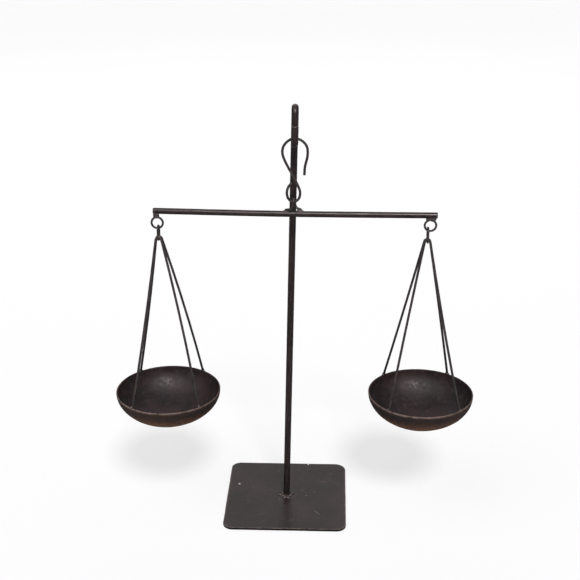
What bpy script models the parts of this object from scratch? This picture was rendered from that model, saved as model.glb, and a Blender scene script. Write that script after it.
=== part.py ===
"""Bench scale: an iron two-pan balance hung from a crooked post on a square plate.

Units are metres, +Z is up.  The origin is the centre of the plate's underside, the beam
runs along X and hangs in front of the post, on the -Y side.
"""
from math import acos, atan2, cos, degrees, hypot, pi, radians, sin, tan

import bmesh
import bpy
from mathutils import Matrix, Vector

# ---- driving dimensions ------------------------------------------------------------------
GAP = 0.0003                      # space kept between pieces that touch
SAFE_MERGE = 0.00001              # merge distance of the modifiers and of welded caps
ROD_ROUNDNESS = 6                 # bevel resolution of the post and the beam
CUTTER_SIDE = 0.05                # side of the block that stands for the plate in a cut
CUTTER_REACH = 0.001              # how far the post's cutter is pushed through a bead

PLATE_SIDE = 0.152
PLATE_THICK = 0.003
PLATE_CORNER = 0.012
PLATE_EDGE = 0.0004

POST_RADIUS = 0.004
POST_LEAN = radians(1.31)         # the post leans towards +X
CROOK_TURN = radians(2.5)         # the crook's plane is turned from -Y towards +X
CROOK_TOP = 0.5105                # height of the centre line over the top bend
CROOK_RADIUS = 0.0075             # top bend
TROUGH_BOTTOM = 0.473             # height of the centre line in the trough
TROUGH_RADIUS = 0.007
CROOK_TIP = 0.495                 # height of the upturned end

HANG_Y = -(2 * CROOK_RADIUS + TROUGH_RADIUS)    # plane that the hook and beam hang in

# radii of the wires
HOOK_WIRE = 0.0015
EYE_WIRE = 0.0014
RING_WIRE = 0.00125
LINK_WIRE = 0.0012
BAIL_WIRE = 0.00145

BEAM_RADIUS = 0.0035
BEAM_LINE = ((-0.1500, 0.3934), (-0.0780, 0.3922), (-0.0100, 0.3913),
             (0.0700, 0.3910), (0.1735, 0.3910))     # x and z of the slightly bent rod

PIVOT_X = 0.0103                  # the beam's balance point
HOOK_EYE_BOTTOM = 0.4056          # height of the wire's centre under the hook's eye
EYE_ARCH = HOOK_WIRE + EYE_WIRE + GAP + 0.0001   # staple's centre line round the hook's wire

RING_RADIUS = 0.0065
RING_CENTRES = {"left": (-0.1458, 0.3791), "right": (0.1659, 0.3789)}
RING_SLIP = {"left": 0.0009, "right": -0.0025}   # how far each link rests off the ring's foot

LINK_BOW = 0.006                  # radius of the link's round ends
LINK_FOOT = 0.3586                # height of the wire's centre at the link's lower end

BAIL_ARCH = 0.0031                # bend radius of a bail wire over the link
BAIL_SHIFT = -0.0001              # the bend sits a little to one side of the link
BAIL_SPREAD = 0.0016              # half the distance between the two bails' apexes
FRONT_END_DEPTH = 0.0025          # the front wires end inside the bowl, below the rim
BACK_END_RISE = 0.0009            # the back wires end on top of the rim

PAN_CENTRES = {"left": (-0.1425, 0.1653), "right": (0.1635, 0.1658)}     # x and rim height
BOWL_RADIUS = 0.0631
BOWL_DEPTH = 0.0401
BOWL_WALL = 0.0015
BOWL_STEPS = 40
BOWL_PROFILE = 10

# weld beads: centres and radii of the lumps before their neighbours are cut out of them
FOOT_BEAD = ((0.0005, -0.0005, PLATE_THICK + GAP), (0.0075, 0.0068, 0.0032))
EYE_BEAD_PLACES = {"left": (0.0030, HANG_Y, 0.3952), "right": (0.0177, HANG_Y, 0.3952)}
EYE_BEAD_RADII = (0.0034, 0.0026, 0.0024)
RING_BEADS = {
    "left": ((-0.1470, HANG_Y, 0.3882), (0.0037, 0.0030, 0.0036)),
    "right": ((0.1664, HANG_Y, 0.3872), (0.0056, 0.0030, 0.0034)),
}
RIM_BEAD_RADII = (0.0029, 0.0029, 0.0030)
FRONT_BEAD_OUT = 0.0007           # the front beads lean out to the wall and up its side
FRONT_BEAD_RISE = 0.0012
BACK_BEAD_DROP = 0.0004

# direction of each wire end round the pan's centre, from +X
LEG_ANGLES = {
    "left": {"front": (-127.2, -46.0), "back": (131.5, 54.0)},
    "right": {"front": (-131.7, -44.5), "back": (133.0, 53.8)},
}
LEG_STEPS = 5
# how far each leg is bowed towards +X between its bend and its end
LEG_BOWS = {
    "left": {"front": (0.0011, 0.0018), "back": (0.0011, 0.0017)},
    "right": {"front": (-0.0005, -0.0012), "back": (0.0004, 0.0004)},
}

# ---- collections and materials -----------------------------------------------------------


def clear_scene():
    """Remove every object that the scene starts with."""
    for item in list(bpy.data.objects):
        bpy.data.objects.remove(item, do_unlink=True)


def new_collection(name):
    """Make a collection under the scene's own."""
    group = bpy.data.collections.new(name)
    bpy.context.scene.collection.children.link(group)
    return group


def new_material(name, colour, roughness, metallic):
    """Make a plain Principled material."""
    material = bpy.data.materials.new(name)
    material.use_nodes = True
    shader = material.node_tree.nodes["Principled BSDF"]
    shader.inputs["Base Color"].default_value = (*colour, 1.0)
    shader.inputs["Roughness"].default_value = roughness
    shader.inputs["Metallic"].default_value = metallic
    material.diffuse_color = (*colour, 1.0)
    return material


# ---- building blocks ---------------------------------------------------------------------


def link(item, material=None):
    """Put an object in the scale's collection with its material."""
    PARTS.objects.link(item)
    if material is not None:
        item.data.materials.append(material)
    return item


def make_cutter(item):
    """Keep an object as a hidden Boolean cutter."""
    for group in list(item.users_collection):
        group.objects.unlink(item)
    CUTTERS.objects.link(item)
    item.hide_render = True
    item.display_type = "WIRE"
    return item


def wire(name, points, radius, material=None, closed=False, resolution=2):
    """Round wire or rod along a list of points."""
    curve = bpy.data.curves.new(name, "CURVE")
    curve.dimensions = "3D"
    curve.bevel_depth = radius
    curve.bevel_resolution = resolution
    curve.use_fill_caps = True
    spline = curve.splines.new("POLY")
    spline.points.add(len(points) - 1)
    for target, point in zip(spline.points, points):
        target.co = (*point, 1.0)
    spline.use_cyclic_u = closed
    spline.use_smooth = True
    return link(bpy.data.objects.new(name, curve), material)


def torus(name, centre, major, minor, material=None):
    """Round ring standing in the XZ plane."""
    bpy.ops.mesh.primitive_torus_add(major_radius=major, minor_radius=minor,
                                     major_segments=32, minor_segments=10)
    ring = bpy.context.object
    for group in list(ring.users_collection):
        group.objects.unlink(ring)
    ring.name = name
    ring.data.name = name
    ring.data.transform(Matrix.Rotation(pi / 2, 4, "X"))
    ring.data.shade_smooth()
    ring.location = centre
    return link(ring, material)


def as_mesh(curve_object):
    """Turn a curve object into a closed mesh object of the same name."""
    bpy.context.view_layer.update()
    depsgraph = bpy.context.evaluated_depsgraph_get()
    mesh = bpy.data.meshes.new_from_object(curve_object.evaluated_get(depsgraph))
    shape = bmesh.new()
    shape.from_mesh(mesh)
    bmesh.ops.remove_doubles(shape, verts=shape.verts, dist=SAFE_MERGE)
    shape.to_mesh(mesh)
    shape.free()
    name = curve_object.name
    item = bpy.data.objects.new(name + "_solid", mesh)
    item.matrix_world = curve_object.matrix_world.copy()
    bpy.data.objects.remove(curve_object, do_unlink=True)
    return link(item)


def wire_cutter(name, points, radius, resolution=2):
    """Cutter for a groove that clears a wire by the gap."""
    return make_cutter(as_mesh(wire(name, points, radius + GAP, resolution=resolution)))


def lump(name, centre, radii, material=None):
    """Round bead of weld metal, before its neighbours are cut out of it."""
    mesh = bpy.data.meshes.new(name)
    shape = bmesh.new()
    bmesh.ops.create_uvsphere(shape, u_segments=14, v_segments=8, radius=1.0)
    bmesh.ops.scale(shape, vec=radii, verts=shape.verts)
    bmesh.ops.translate(shape, vec=centre, verts=shape.verts)
    shape.to_mesh(mesh)
    shape.free()
    mesh.shade_smooth()
    return link(bpy.data.objects.new(name, mesh), material)


def cut(item, *cutters):
    """Cut each cutter out of an object."""
    for cutter in cutters:
        boolean = item.modifiers.new("cut_" + cutter.name, "BOOLEAN")
        boolean.operation = "DIFFERENCE"
        boolean.solver = "EXACT"
        boolean.object = cutter
    return item


def arc(centre, radius, start, end, steps):
    """Points on a circle in a plane, as pairs, from one angle to another in degrees."""
    angles = [radians(start + (end - start) * i / steps) for i in range(steps + 1)]
    return [(centre[0] + radius * cos(a), centre[1] + radius * sin(a)) for a in angles]


def smooth(points, steps):
    """Points on a smooth curve through the given points (Catmull-Rom)."""
    points = [Vector(point) for point in points]
    ends = [2 * points[0] - points[1]] + points + [2 * points[-1] - points[-2]]
    result = []
    for a, b, c, d in zip(ends, ends[1:], ends[2:], ends[3:]):
        for step in range(steps):
            t = step / steps
            result.append(0.5 * (2 * b + (c - a) * t + (2 * a - 5 * b + 4 * c - d) * t ** 2
                                 + (3 * b - a - 3 * c + d) * t ** 3))
    return result + [points[-1]]


# ---- joints' empties ---------------------------------------------------------------------


def pivot(name, place, parent=None):
    """Empty on a joint's axis; its location is relative to its parent's."""
    empty = bpy.data.objects.new(name, None)
    empty.empty_display_size = 0.01
    PARTS.objects.link(empty)
    empty.parent = parent
    empty.location = Vector(place) - world_place(parent)
    return empty


def world_place(empty):
    """World position of an unrotated empty."""
    place = Vector((0.0, 0.0, 0.0))
    while empty is not None:
        place = place + empty.location
        empty = empty.parent
    return place


def carry(parent, *items):
    """Hang objects on an empty without moving them."""
    for item in items:
        item.parent = parent
        item.location = item.location - world_place(parent)


# ---- the stand ---------------------------------------------------------------------------


def make_plate():
    """Square plate with round corners and eased edges."""
    half = PLATE_SIDE / 2 - PLATE_EDGE
    corner = PLATE_CORNER - PLATE_EDGE
    outline = []
    for turn, (sx, sy) in enumerate(((1, 1), (-1, 1), (-1, -1), (1, -1))):
        centre = (sx * (half - corner), sy * (half - corner))
        outline += arc(centre, corner, 90 * turn, 90 * turn + 90, 6)
    curve = bpy.data.curves.new("base_plate", "CURVE")
    curve.dimensions = "2D"
    curve.fill_mode = "BOTH"
    curve.extrude = PLATE_THICK / 2 - PLATE_EDGE
    curve.bevel_depth = PLATE_EDGE
    curve.bevel_resolution = 0
    spline = curve.splines.new("POLY")
    spline.points.add(len(outline) - 1)
    for target, (x, y) in zip(spline.points, outline):
        target.co = (x, y, 0.0, 1.0)
    spline.use_cyclic_u = True
    plate = bpy.data.objects.new("base_plate", curve)
    plate.location = (0.0, 0.0, PLATE_THICK / 2)
    return link(plate, IRON_PLATE)


def post_x(y, z):
    """Sideways place of the post's centre line at a height and a distance to the front."""
    return tan(POST_LEAN) * (z - PLATE_THICK) - tan(CROOK_TURN) * y


def post_path():
    """Centre line of the post: up, over the crook, through the trough and up to its tip."""
    top_centre = (-CROOK_RADIUS, CROOK_TOP - CROOK_RADIUS)
    trough_centre = (HANG_Y, TROUGH_BOTTOM + TROUGH_RADIUS)
    flat = [(0.0, PLATE_THICK + GAP)]
    flat += arc(top_centre, CROOK_RADIUS, 0, 180, 10)
    flat += arc(trough_centre, TROUGH_RADIUS, 0, -180, 10)
    flat += [(HANG_Y - TROUGH_RADIUS, CROOK_TIP)]
    return [(post_x(y, z), y, z) for y, z in flat]


def make_stand():
    """Plate, post and the weld bead round the post's foot."""
    plate = make_plate()
    post = wire("post", post_path(), POST_RADIUS, IRON_ROD, resolution=ROD_ROUNDNESS)
    post_cutter = wire_cutter("post_cutter", post_path()[:2], POST_RADIUS, ROD_ROUNDNESS)
    shape = bmesh.new()
    bmesh.ops.create_cube(shape, size=1.0)
    bmesh.ops.scale(shape, vec=(CUTTER_SIDE, CUTTER_SIDE, 2 * PLATE_THICK), verts=shape.verts)
    bmesh.ops.translate(shape, vec=(0.0, 0.0, GAP), verts=shape.verts)
    mesh = bpy.data.meshes.new("plate_cutter")
    shape.to_mesh(mesh)
    shape.free()
    plate_cutter = make_cutter(link(bpy.data.objects.new("plate_cutter", mesh)))
    post_cutter.data.transform(Matrix.Translation((0.0, 0.0, -CUTTER_REACH)))
    bead = lump("post_foot_weld", *FOOT_BEAD, WELD)
    cut(bead, plate_cutter, post_cutter)
    return [plate, post, bead]


# ---- the hanger and the beam -------------------------------------------------------------


def make_hanger():
    """S-hook: a wide loop over the trough and a small closed eye below it."""
    line = ((0.0226, 0.4370), (0.0233, 0.4470), (0.0260, 0.4590), (0.0255, 0.4695),
            (0.0198, 0.4766), (0.0114, 0.4791), (0.0044, 0.4762), (-0.0009, 0.4695),
            (-0.0017, 0.4610), (0.0022, 0.4505), (0.0086, 0.4384), (0.0146, 0.4264),
            (0.0178, 0.4172), (0.0162, 0.4092), (PIVOT_X, HOOK_EYE_BOTTOM),
            (0.0048, 0.4090), (0.0029, 0.4158), (0.0045, 0.4228), (0.0082, 0.4276))
    points = [(p.x, HANG_Y, p.y) for p in smooth(line, 4)]
    return wire("hanger_hook", points, HOOK_WIRE, BLACK_WIRE)


def eye_path():
    """Centre line of the twisted staple: its arch crosses over the hook's wire."""
    arch = [(PIVOT_X + 0.0002, HANG_Y + y, HOOK_EYE_BOTTOM + z)
            for y, z in arc((0.0, 0.0), EYE_ARCH, 180, 0, 8)]
    left = smooth(((0.0024, HANG_Y - 0.0008, 0.3965), (0.0066, HANG_Y - 0.0024, 0.3977),
                   (0.0096, HANG_Y - 0.0034, 0.4015), arch[0]), 3)
    right = smooth((arch[-1], (0.0118, HANG_Y + 0.0034, 0.4015),
                    (0.0143, HANG_Y + 0.0024, 0.3977), (0.0182, HANG_Y + 0.0008, 0.3965)), 3)
    return left[:-1] + arch + right[1:]


def beam_path():
    """Centre line of the beam."""
    return [(p.x, HANG_Y, p.y) for p in smooth(BEAM_LINE, 2)]


def make_beam():
    """Rod, staple, end rings and the welds that hold them together."""
    rod = wire("beam_rod", beam_path(), BEAM_RADIUS, IRON_ROD, resolution=ROD_ROUNDNESS)
    eye = wire("beam_eye", eye_path(), EYE_WIRE, BLACK_WIRE)
    beam_cutter = wire_cutter("beam_cutter", beam_path(), BEAM_RADIUS, ROD_ROUNDNESS)
    eye_cutter = wire_cutter("eye_cutter", eye_path(), EYE_WIRE)
    pieces = [rod, eye]
    for side, place in EYE_BEAD_PLACES.items():
        bead = lump(side + "_eye_weld", place, EYE_BEAD_RADII, WELD)
        pieces.append(cut(bead, beam_cutter, eye_cutter))
    for side, (x, z) in RING_CENTRES.items():
        centre = (x, HANG_Y, z)
        ring = torus(side + "_ring", centre, RING_RADIUS, RING_WIRE, BLACK_WIRE)
        ring_cutter = make_cutter(torus(side + "_ring_cutter", centre, RING_RADIUS,
                                        RING_WIRE + GAP))
        bead = lump(side + "_ring_weld", *RING_BEADS[side], WELD)
        cut(bead, beam_cutter, ring_cutter)
        pieces += [ring, bead]
    return pieces


# ---- links, bails and pans ---------------------------------------------------------------


def hang_point(side):
    """Centre of the link's upper wire, where it rests inside its ring."""
    x, z = RING_CENTRES[side]
    reach = RING_RADIUS - RING_WIRE - LINK_WIRE - GAP
    slip = RING_SLIP[side]
    return x + slip, z - (reach ** 2 - slip ** 2) ** 0.5


def make_link(side):
    """Long oval link that stands across the ring."""
    x, top = hang_point(side)
    upper = arc((HANG_Y, top - LINK_BOW), LINK_BOW, 0, 180, 10)
    lower = arc((HANG_Y, LINK_FOOT + LINK_BOW), LINK_BOW, 180, 360, 10)
    points = [(x, y, z) for y, z in upper + lower]
    return wire(side + "_link", points, LINK_WIRE, BLACK_WIRE, closed=True)


def wire_end(side, row, angle):
    """Lower end of a bail wire: inside the wall in front, on top of the rim at the back."""
    x, rim = PAN_CENTRES[side]
    if row == "front":
        squeeze = FRONT_END_DEPTH / (BOWL_DEPTH - BOWL_WALL)
        wall = (BOWL_RADIUS - BOWL_WALL) * (1 - squeeze ** 2) ** 0.5
        reach = wall - BAIL_WIRE - 2 * GAP
        height = rim - FRONT_END_DEPTH
    else:
        reach = BOWL_RADIUS - BOWL_WALL / 2
        height = rim + BACK_END_RISE
    turn = radians(angle)
    return Vector((x + reach * cos(turn), HANG_Y + reach * sin(turn), height))


def bowed_leg(end, top, bow):
    """Points of a slightly bowed leg, from its end up to its bend but without the bend."""
    across = Vector((bow, 0.0, 0.0))
    steps = [i / LEG_STEPS for i in range(LEG_STEPS)]
    return [end.lerp(top, t) + 4 * t * (1 - t) * across for t in steps]


def bail_path(side, row):
    """Centre line of one bail: a leg, a tight bend over the link, and the other leg."""
    y = HANG_Y + (-BAIL_SPREAD if row == "front" else BAIL_SPREAD)
    apex = Vector((hang_point(side)[0] + BAIL_SHIFT, y, LINK_FOOT + BAIL_ARCH))
    ends = [wire_end(side, row, angle) for angle in LEG_ANGLES[side][row]]
    across = Vector((1.0, 0.0, 0.0))
    down = (ends[0] + ends[1]) / 2 - apex
    down.x = 0.0
    down.normalize()
    centre = apex + BAIL_ARCH * down
    bends = []
    for end in ends:
        sideways = abs((end - centre).dot(across))
        below = (end - centre).dot(down)
        touch = atan2(sideways, below) + acos(BAIL_ARCH / hypot(sideways, below))
        bends.append(180.0 - degrees(touch))
    turns = [-bends[0] + (bends[0] + bends[1]) * i / 8 for i in range(9)]
    bend = [centre + BAIL_ARCH * (sin(radians(t)) * across - cos(radians(t)) * down)
            for t in turns]
    bows = LEG_BOWS[side][row]
    first = bowed_leg(ends[0], bend[0], bows[0])
    second = bowed_leg(ends[1], bend[-1], bows[1])
    return first + bend + second[::-1]


def bowl_profile(radius, depth, count):
    """Outer line of a bowl from its rim to its lowest point."""
    return [(radius * cos(a), 0.0, -depth * sin(a))
            for a in (pi / 2 * i / count for i in range(count + 1))]


def turned_shell(name, place, profile, wall, material=None):
    """Turn a profile round Z and thicken it inwards."""
    mesh = bpy.data.meshes.new(name)
    shape = bmesh.new()
    corners = [shape.verts.new(point) for point in profile]
    for a, b in zip(corners, corners[1:]):
        shape.edges.new((a, b))
    shape.to_mesh(mesh)
    shape.free()
    shell = link(bpy.data.objects.new(name, mesh), material)
    shell.location = place
    screw = shell.modifiers.new("turn", "SCREW")
    screw.steps = BOWL_STEPS
    screw.render_steps = BOWL_STEPS
    screw.use_smooth_shade = True
    screw.use_merge_vertices = True
    screw.merge_threshold = SAFE_MERGE
    solidify = shell.modifiers.new("wall", "SOLIDIFY")
    solidify.thickness = wall
    solidify.offset = -1.0
    return shell


def make_pan(side):
    """Bowl, its two bails and the four weld beads at the rim."""
    x, rim = PAN_CENTRES[side]
    place = Vector((x, HANG_Y, rim))
    bowl = turned_shell(side + "_pan_bowl", place,
                        bowl_profile(BOWL_RADIUS, BOWL_DEPTH, BOWL_PROFILE), BOWL_WALL,
                        PAN_IRON)
    bowl_cutter = turned_shell(side + "_bowl_cutter", place + Vector((0.0, 0.0, GAP)),
                               bowl_profile(BOWL_RADIUS + GAP, BOWL_DEPTH + 2 * GAP,
                                            BOWL_PROFILE),
                               BOWL_WALL + 2 * GAP)
    make_cutter(bowl_cutter)
    pieces = [bowl]
    for row in ("front", "back"):
        path = bail_path(side, row)
        pieces.append(wire(side + "_" + row + "_bail", path, BAIL_WIRE, BLACK_WIRE))
        cutter = wire_cutter(side + "_" + row + "_cutter", path, BAIL_WIRE)
        for hand, end in (("left", path[0]), ("right", path[-1])):
            outward = Vector((end.x - x, end.y - HANG_Y, 0.0)).normalized()
            if row == "front":
                centre = end + FRONT_BEAD_OUT * outward + Vector((0.0, 0.0, FRONT_BEAD_RISE))
            else:
                centre = end - Vector((0.0, 0.0, BACK_BEAD_DROP))
            name = side + "_pan_" + row + "_" + hand + "_weld"
            bead = lump(name, centre, RIM_BEAD_RADII, WELD)
            pieces.append(cut(bead, bowl_cutter, cutter))
    return pieces


# ---- the whole scale ---------------------------------------------------------------------

clear_scene()
PARTS = new_collection("bench_scale")
CUTTERS = new_collection("cutters")
IRON_PLATE = new_material("iron_plate", (0.070, 0.060, 0.056), 0.50, 0.6)
IRON_ROD = new_material("iron_rod", (0.045, 0.036, 0.036), 0.45, 0.7)
BLACK_WIRE = new_material("black_wire", (0.030, 0.029, 0.027), 0.45, 0.7)
PAN_IRON = new_material("pan_iron", (0.040, 0.030, 0.027), 0.55, 0.6)
WELD = new_material("weld_bead", (0.050, 0.044, 0.044), 0.40, 0.8)

make_stand()

hook_axis = pivot("hook_axis", (post_x(HANG_Y, TROUGH_BOTTOM), HANG_Y,
                                TROUGH_BOTTOM + POST_RADIUS + GAP + HOOK_WIRE))
carry(hook_axis, make_hanger())

beam_axis = pivot("beam_axis", (PIVOT_X, HANG_Y, HOOK_EYE_BOTTOM + EYE_ARCH), hook_axis)
carry(beam_axis, *make_beam())

for side, (ring_x, ring_z) in RING_CENTRES.items():
    link_axis = pivot(side + "_link_axis", (ring_x, HANG_Y, ring_z), beam_axis)
    carry(link_axis, make_link(side))
    pan_axis = pivot(side + "_pan_axis", (hang_point(side)[0], HANG_Y, LINK_FOOT), link_axis)
    carry(pan_axis, *make_pan(side))
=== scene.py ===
from math import acos, atan2, cos, degrees, hypot, pi, radians, sin, tan

import bmesh
import bpy
import numpy as np
from mathutils import Matrix, Vector, noise


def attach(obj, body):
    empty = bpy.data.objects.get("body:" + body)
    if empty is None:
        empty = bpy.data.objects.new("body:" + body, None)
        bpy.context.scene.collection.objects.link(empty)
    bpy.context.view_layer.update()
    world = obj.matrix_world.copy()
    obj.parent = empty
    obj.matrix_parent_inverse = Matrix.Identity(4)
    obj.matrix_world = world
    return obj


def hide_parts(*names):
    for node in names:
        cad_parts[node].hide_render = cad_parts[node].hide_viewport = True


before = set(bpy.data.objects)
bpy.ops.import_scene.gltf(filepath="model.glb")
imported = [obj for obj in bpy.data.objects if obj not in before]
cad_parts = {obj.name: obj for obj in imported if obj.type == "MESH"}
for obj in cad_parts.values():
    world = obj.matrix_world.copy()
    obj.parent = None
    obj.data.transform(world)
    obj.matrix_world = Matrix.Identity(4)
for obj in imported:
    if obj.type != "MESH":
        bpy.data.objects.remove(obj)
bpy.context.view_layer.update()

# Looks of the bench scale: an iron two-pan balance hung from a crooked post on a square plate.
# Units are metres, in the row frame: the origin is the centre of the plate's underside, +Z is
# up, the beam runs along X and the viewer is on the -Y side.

# ---- dimensions, as in the CAD model -----------------------------------------------------
PLATE_SIDE = 0.152
PLATE_THICK = 0.003
PLATE_CORNER = 0.012

POST_RADIUS = 0.004
POST_LEAN = radians(1.31)
CROOK_TURN = radians(2.5)
CROOK_TOP = 0.5105
CROOK_RADIUS = 0.0075
TROUGH_BOTTOM = 0.473
TROUGH_RADIUS = 0.007
CROOK_TIP = 0.495

HANG_Y = -(2 * CROOK_RADIUS + TROUGH_RADIUS)

GAP = 0.0003
HOOK_WIRE = 0.0015
EYE_WIRE = 0.0014
RING_WIRE = 0.00125
LINK_WIRE = 0.0012
BAIL_WIRE = 0.00145

BEAM_RADIUS = 0.0035
BEAM_LINE = ((-0.1500, 0.3934), (-0.0780, 0.3922), (-0.0100, 0.3913),
             (0.0700, 0.3910), (0.1735, 0.3910))
HOOK_LINE = ((0.0226, 0.4370), (0.0233, 0.4470), (0.0260, 0.4590), (0.0255, 0.4695),
             (0.0198, 0.4766), (0.0114, 0.4791), (0.0044, 0.4762), (-0.0009, 0.4695),
             (-0.0017, 0.4610), (0.0022, 0.4505), (0.0086, 0.4384), (0.0146, 0.4264),
             (0.0178, 0.4172), (0.0162, 0.4092), (0.0103, 0.4056), (0.0048, 0.4090),
             (0.0029, 0.4158), (0.0045, 0.4228), (0.0082, 0.4276))

PIVOT_X = 0.0103
HOOK_EYE_BOTTOM = 0.4056
EYE_ARCH = HOOK_WIRE + EYE_WIRE + GAP + 0.0001
EYE_SHIFT = 0.0002                # the staple's arch stands a little to one side

RING_RADIUS = 0.0065
RING_CENTRES = {"left": (-0.1458, 0.3791), "right": (0.1659, 0.3789)}
RING_SLIP = {"left": 0.0009, "right": -0.0025}
LINK_BOW = 0.006
LINK_FOOT = 0.3586

BAIL_ARCH = 0.0033                # wider than in the CAD: round wires take more room
BAIL_SHIFT = -0.0001
BAIL_SPREAD = 0.0016
FRONT_END_DEPTH = 0.0025
LEG_STEPS = 5

PAN_CENTRES = {"left": (-0.1425, 0.1653), "right": (0.1635, 0.1658)}
BOWL_RADIUS = 0.0631
BOWL_DEPTH = 0.0401
BOWL_WALL = 0.0015
LEG_ANGLES = {
    "left": {"front": (-127.2, -46.0), "back": (131.5, 54.0)},
    "right": {"front": (-131.7, -44.5), "back": (133.0, 53.8)},
}
# how far each leg is bowed towards +X between its bend and its end
LEG_BOWS = {
    "left": {"front": (0.0011, 0.0018), "back": (0.0011, 0.0017)},
    "right": {"front": (-0.0005, -0.0012), "back": (0.0004, 0.0004)},
}

# ---- dimensions that only the looks have -------------------------------------------------
TINY = 1e-7                       # shorter lengths count as none

# unevenness of rods and wires
ROD_WAVES = (70, 260)             # how closely it repeats, broad and fine
ROD_FINE_SHARE = 0.6              # the fine part's strength beside the broad part's

# welds: spots on the plate are x and y, and dabs are centres and radii
WELD_VOXEL = 0.00022              # fineness of a weld's melted skin
WELD_RELAX = 4                    # rounds of smoothing
WELD_BUMPS = 0.00012              # height of its grain
FOOT_DAB_COUNT = 11
FOOT_DABS = (((0.0024, -0.0066), (0.0032, 0.0018, 0.0017)),
             ((-0.0022, -0.0070), (0.0028, 0.0016, 0.0014)),
             ((-0.0078, -0.0004), (0.0036, 0.0020, 0.0018)),
             ((0.0072, 0.0022), (0.0032, 0.0018, 0.0019)),
             ((0.0, 0.0), (0.0050, 0.0050, 0.0022)))
SPATTER_SPOTS = (((-0.0625, 0.0223), 0.0018), ((0.0262, 0.0732), 0.0018),
                 ((-0.0442, 0.0134), 0.0005), ((0.0251, -0.0019), 0.0006),
                 ((0.0352, 0.0066), 0.0005), ((-0.0090, -0.0120), 0.0005))
SPATTER_SHAPE = (1.0, 0.85, 0.75)  # a drop's proportions
STAPLE_FEET = (("left", 0.0030, -1), ("right", 0.0177, 1))     # x and the way outwards
RING_DABS = {
    "left": (((-0.1482, 0.3908), (0.0019, 0.0029, 0.0026)),
             ((-0.1456, 0.3902), (0.0026, 0.0029, 0.0024)),
             ((-0.1480, 0.3882), (0.0022, 0.0024, 0.0028)),
             ((-0.1456, 0.3874), (0.0026, 0.0024, 0.0026)),
             ((-0.1482, 0.3862), (0.0020, 0.0020, 0.0018)),
             ((-0.1450, 0.3860), (0.0022, 0.0020, 0.0016))),
    "right": (((0.1655, 0.3892), (0.0056, 0.0028, 0.0024)),
              ((0.1700, 0.3890), (0.0036, 0.0029, 0.0028)),
              ((0.1648, 0.3870), (0.0044, 0.0024, 0.0022)),
              ((0.1690, 0.3866), (0.0034, 0.0024, 0.0026)),
              ((0.1640, 0.3856), (0.0036, 0.0020, 0.0016)),
              ((0.1685, 0.3850), (0.0028, 0.0020, 0.0016))),
}
# dabs at the bails' ends: outwards, sideways and up from the wire's end, and the radius
RIM_DABS = {
    "front": ((0.0010, 0.0, 0.0004, 0.0017), (0.0008, 0.0, 0.0024, 0.0015),
              (0.0006, 0.0013, 0.0, 0.0014), (0.0006, -0.0012, 0.0, 0.0013)),
    "back": ((0.0, 0.0, 0.0004, 0.0019), (0.0, 0.0015, 0.0, 0.0015),
             (0.0, -0.0014, 0.0, 0.0015), (0.0, 0.0, 0.0020, 0.0014)),
}

# how far from a place of rubbing the bare metal reaches; CREST_HIGHLIGHT is how far the painted
# highlight on the crook's top reaches
TROUGH_RUB = 0.006
CREST_HIGHLIGHT = 0.009
HOOK_RUB = 0.004
WIRE_RUB = 0.003

# the plate's edge
SHEET_EASE = 0.0005
SHEET_SLACK = 0.0001              # keeps the uneven edge inside the plate's outline
SHEET_CORNER_EXTRA = 0.002        # the back right corner is rounder
SHEET_POINTS = 240                # round the outline
SHEET_SHARES = (0.85, 0.7, 0.55, 0.4, 0.27, 0.15, 0.06)       # rings on its face

# the bowls' mesh, dents and rim
BOWL_COUNT = 144                  # points round
BOWL_STEPS = 36                   # rings down a side
BOWL_START = radians(1.2)         # the rim's rounding takes the first bit of the side
LIP_RISE = 0.0005
BOWL_SEEDS = {"left": 3.1, "right": 8.4}
DENTS = ((22, 0.00030), (95, 0.00012))                        # closeness and depth
RIM_WAVE = (25, 0.0003, 0.3)      # closeness, height and how far it is sunk

# marks on the plate: place, length, width and angle
SCRATCHES = (((0.0473, 0.0308), 0.0110, 0.0012, 2), ((0.0400, -0.0400), 0.0190, 0.0011, -52),
             ((0.0200, 0.0110), 0.0060, 0.0016, 20), ((-0.0300, -0.0450), 0.0140, 0.0008, 28),
             ((-0.0480, -0.0160), 0.0110, 0.0007, -20), ((0.0090, -0.0570), 0.0090, 0.0009, 8),
             ((-0.0130, 0.0560), 0.0130, 0.0008, 62), ((0.0560, 0.0510), 0.0100, 0.0008, 40))

# the studio
FLOOR_SIDE = 90.0
FLOOR_CELLS = 12
CAMERA_PLACE = (0.0531, -1.2230, 0.7992)
CAMERA_LENS = 69.20
CAMERA_SENSOR = 36.0
CAMERA_ANGLES = (2.2402, 22.6548, 0.1726)                     # azimuth, elevation and roll

# ---- lines -------------------------------------------------------------------------------


def arc(centre, radius, start, end, steps):
    """Points on a circle in a plane, as pairs, from one angle to another in degrees."""
    angles = [radians(start + (end - start) * i / steps) for i in range(steps + 1)]
    return [(centre[0] + radius * cos(a), centre[1] + radius * sin(a)) for a in angles]


def smooth(points, steps):
    """Points on a smooth curve through the given points (Catmull-Rom)."""
    points = [Vector(point) for point in points]
    ends = [2 * points[0] - points[1]] + points + [2 * points[-1] - points[-2]]
    result = []
    for a, b, c, d in zip(ends, ends[1:], ends[2:], ends[3:]):
        for step in range(steps):
            t = step / steps
            result.append(0.5 * (2 * b + (c - a) * t + (2 * a - 5 * b + 4 * c - d) * t ** 2
                                 + (3 * b - a - 3 * c + d) * t ** 3))
    return result + [points[-1]]


def post_x(y, z):
    """Sideways place of the post's centre line at a height and a distance to the front."""
    return tan(POST_LEAN) * (z - PLATE_THICK) - tan(CROOK_TURN) * y


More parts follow.
